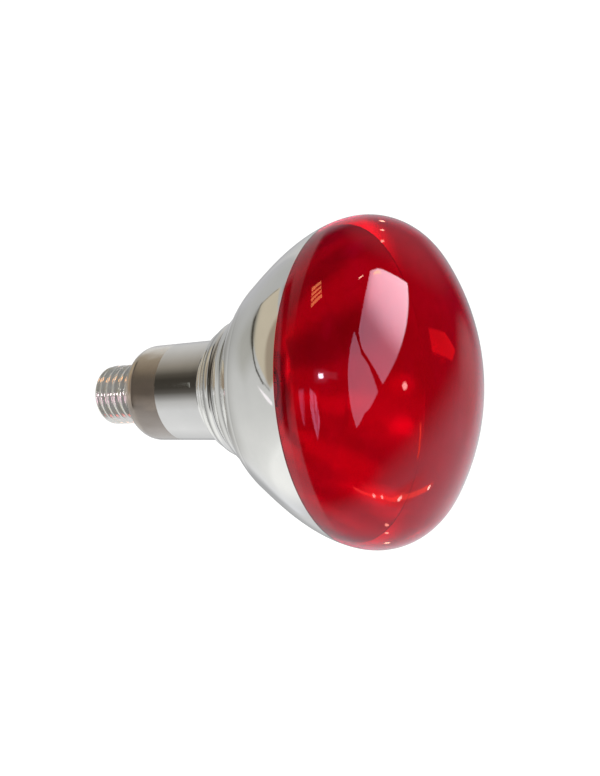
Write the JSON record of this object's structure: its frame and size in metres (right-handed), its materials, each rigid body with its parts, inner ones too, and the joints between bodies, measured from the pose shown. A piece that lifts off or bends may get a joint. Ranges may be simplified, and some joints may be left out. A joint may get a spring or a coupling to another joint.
{
  "type": "reflector heat lamp",
  "caption": "Infrared reflector heat lamp: blown bulb with a silvered bowl and neck, a transparent red front and a screw cap.",
  "frame": {"origin": "middle of the cap's centre contact, on its flat face", "axes": "+Z along the lamp's axis from the cap towards the red face; X and Y across it, with the inner leads spread along X"},
  "size_m": [0.125, 0.125, 0.1722],
  "materials": {
    "silvered_glass": "polished",
    "red_glass": "gloss",
    "clear_glass": "gloss",
    "lead_metal": "satin",
    "tungsten": "satin",
    "shield_sheet": "satin",
    "cap_metal": "gloss",
    "contact_brass": "satin",
    "black_glass": "gloss",
    "solder": "satin",
    "cement": "matte"
  },
  "bodies": {
    "root": {"reflector_body": "silvered_glass", "red_face": "red_glass", "stem": "clear_glass", "exhaust_tube": "clear_glass", "support_rod": "clear_glass", "seal_wires": "lead_metal", "inner_lead_left": "lead_metal", "inner_lead_right": "lead_metal", "shield_eyelets": "lead_metal", "outer_lead_centre": "lead_metal", "outer_lead_side": "lead_metal", "filament": "tungsten", "filament_supports": "tungsten", "heat_shield": "shield_sheet", "cap_shell": "cap_metal", "centre_contact": "contact_brass", "cap_insulator": "black_glass", "fuse_sleeve": "clear_glass", "centre_solder": "solder", "side_solder": "solder", "capping_cement": "cement"}
  },
  "joints": []
}
